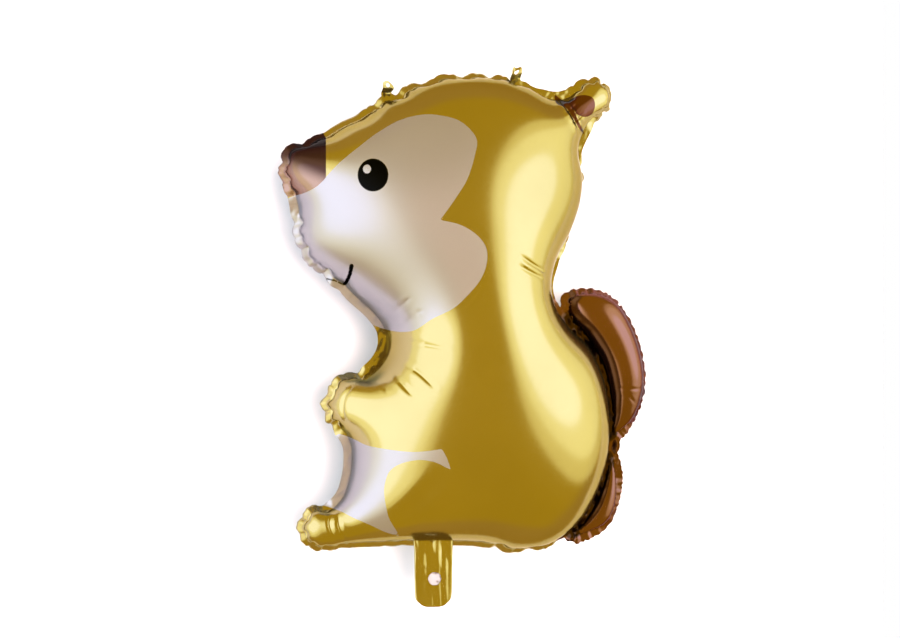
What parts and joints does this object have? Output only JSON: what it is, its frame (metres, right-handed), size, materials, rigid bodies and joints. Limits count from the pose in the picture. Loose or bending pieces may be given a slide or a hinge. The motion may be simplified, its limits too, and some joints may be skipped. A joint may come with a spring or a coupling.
{
  "type": "squirrel foil balloon",
  "caption": "Inflated foil balloon in the shape of a squirrel in profile, with a welded margin, hanging tabs and a flat filling neck.",
  "frame": {"origin": "middle of the bounding box, on the surface that the balloon lies on", "axes": "+Y towards the squirrel's head, -X the way its face looks, +Z out of the printed front sheet"},
  "size_m": [0.3854, 0.5439, 0.1894],
  "materials": {
    "gold_foil": "metallised film, satin gold with printed cream, brown and black areas",
    "valve_film": "thin whitish clear film"
  },
  "bodies": {
    "root": {"foil_envelope": "gold_foil", "valve_sleeve": "valve_film"}
  },
  "joints": []
}
